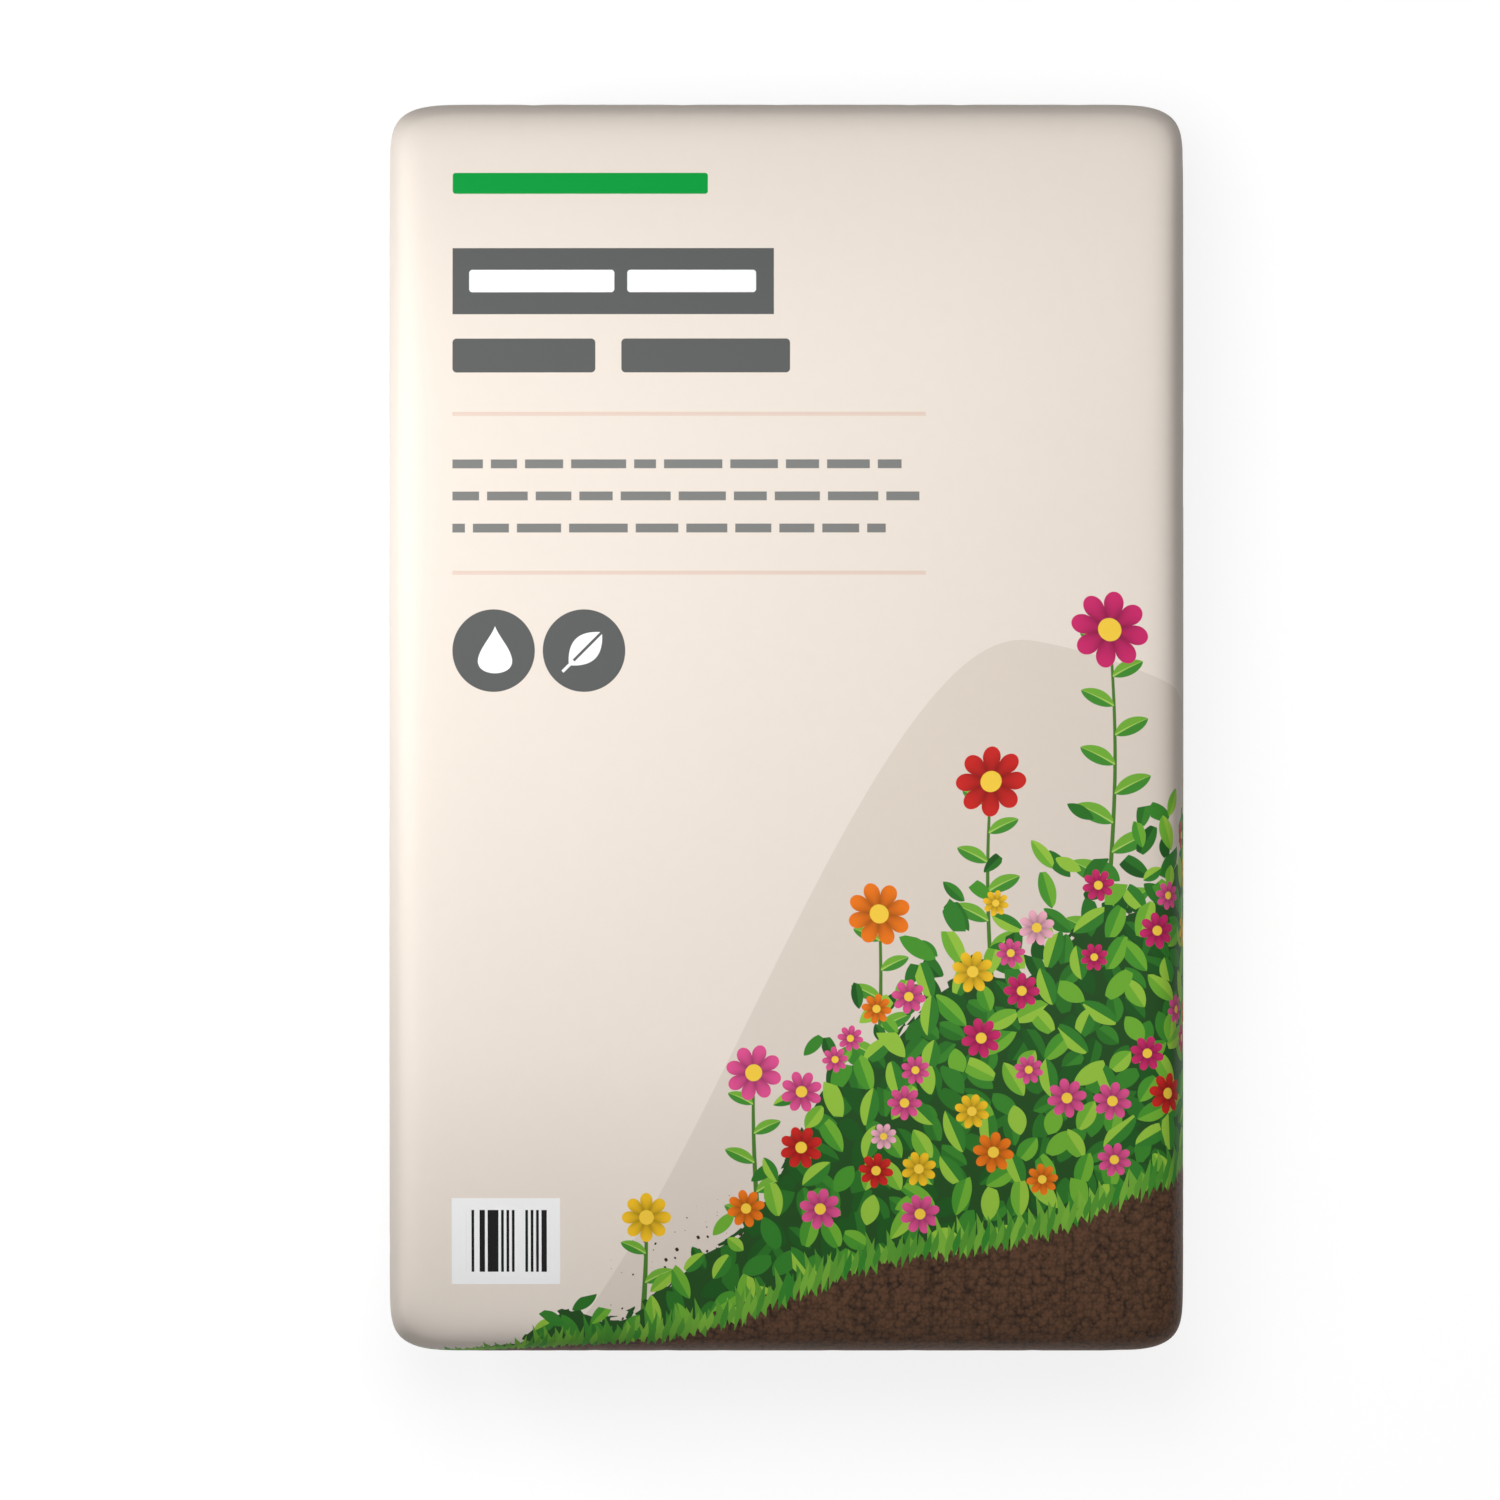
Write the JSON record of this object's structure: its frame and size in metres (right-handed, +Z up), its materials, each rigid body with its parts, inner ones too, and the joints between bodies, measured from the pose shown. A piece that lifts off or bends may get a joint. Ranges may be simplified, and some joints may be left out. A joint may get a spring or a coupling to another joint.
{
  "type": "topsoil bag",
  "caption": "Filled, sealed plastic film bag of topsoil lying on its back, with a crowned front panel, gusset folds down the long sides and welded end seals folded down.",
  "frame": {"origin": "middle of the bag's footprint on the resting plane", "axes": "+Z up out of the front panel, +Y along the bag towards the top of the print, +X to the right of the print"},
  "size_m": [0.34, 0.5344, 0.128],
  "materials": {
    "film": "satin polyethylene film, warm beige"
  },
  "bodies": {
    "root": {"topsoil_bag": "film"}
  },
  "joints": []
}
